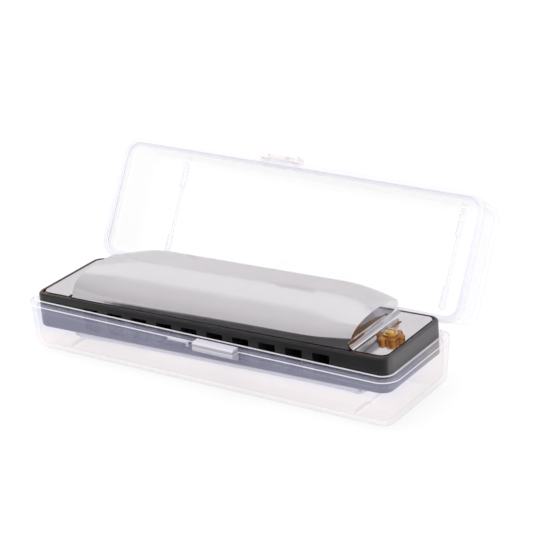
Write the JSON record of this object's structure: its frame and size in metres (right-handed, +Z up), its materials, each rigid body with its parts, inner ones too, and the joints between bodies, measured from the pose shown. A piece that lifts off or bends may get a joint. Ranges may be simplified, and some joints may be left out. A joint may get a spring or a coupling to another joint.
{
  "type": "harmonica case",
  "caption": "Shallow hinged plastic case, lid open on its stop, with snap latch tabs and cross ribs that carry a flanged-cover diatonic harmonica.",
  "frame": {"origin": "centre of the flat underside of the base", "axes": "+X along the case's length towards the high notes' end, -Y towards the latch side, +Z up out of the base"},
  "size_m": [0.1074, 0.0631, 0.0449],
  "materials": {
    "case_plastic": "frosted translucent polypropylene",
    "comb_plastic": "satin black moulding",
    "plate_brass": "brushed",
    "reed_brass": "fine ground",
    "cover_steel": "polished plated sheet",
    "screw_brass": "turned and polished"
  },
  "bodies": {
    "base": {"case_base": "case_plastic"},
    "lid": {"case_lid": "case_plastic"},
    "latch": {"latch_tab": "case_plastic"},
    "harmonica": {"comb": "comb_plastic", "upper_reed_plate": "plate_brass", "lower_reed_plate": "plate_brass", "blow_reed_1": "reed_brass", "blow_reed_2": "reed_brass", "blow_reed_3": "reed_brass", "blow_reed_4": "reed_brass", "blow_reed_5": "reed_brass", "blow_reed_6": "reed_brass", "blow_reed_7": "reed_brass", "blow_reed_8": "reed_brass", "blow_reed_9": "reed_brass", "blow_reed_10": "reed_brass", "draw_reed_1": "reed_brass", "draw_reed_2": "reed_brass", "draw_reed_3": "reed_brass", "draw_reed_4": "reed_brass", "draw_reed_5": "reed_brass", "draw_reed_6": "reed_brass", "draw_reed_7": "reed_brass", "draw_reed_8": "reed_brass", "draw_reed_9": "reed_brass", "draw_reed_10": "reed_brass", "upper_rivets": "plate_brass", "lower_rivets": "plate_brass", "upper_cover": "cover_steel", "lower_cover": "cover_steel", "star_washers": "screw_brass", "cover_screws": "screw_brass"}
  },
  "joints": [
    {"name": "lid_hinge", "type": "hinge", "parent": "base", "child": "lid", "pos_m": [0, 0.0169, 0.0139], "axis": [1, 0, 0], "range_deg": [0, 120]},
    {"name": "latch_flex", "type": "hinge", "parent": "lid", "child": "latch", "pos_m": [-0.00545, 0.03465, 0.04204], "axis": [-1, 0, 0], "range_deg": [0, 8], "stiffness_Nm_per_rad": 0.02},
    {"name": "harmonica_play", "type": "slide", "parent": "base", "child": "harmonica", "axis": [0, 0, 1], "range_m": [0, 0.0015]}
  ]
}
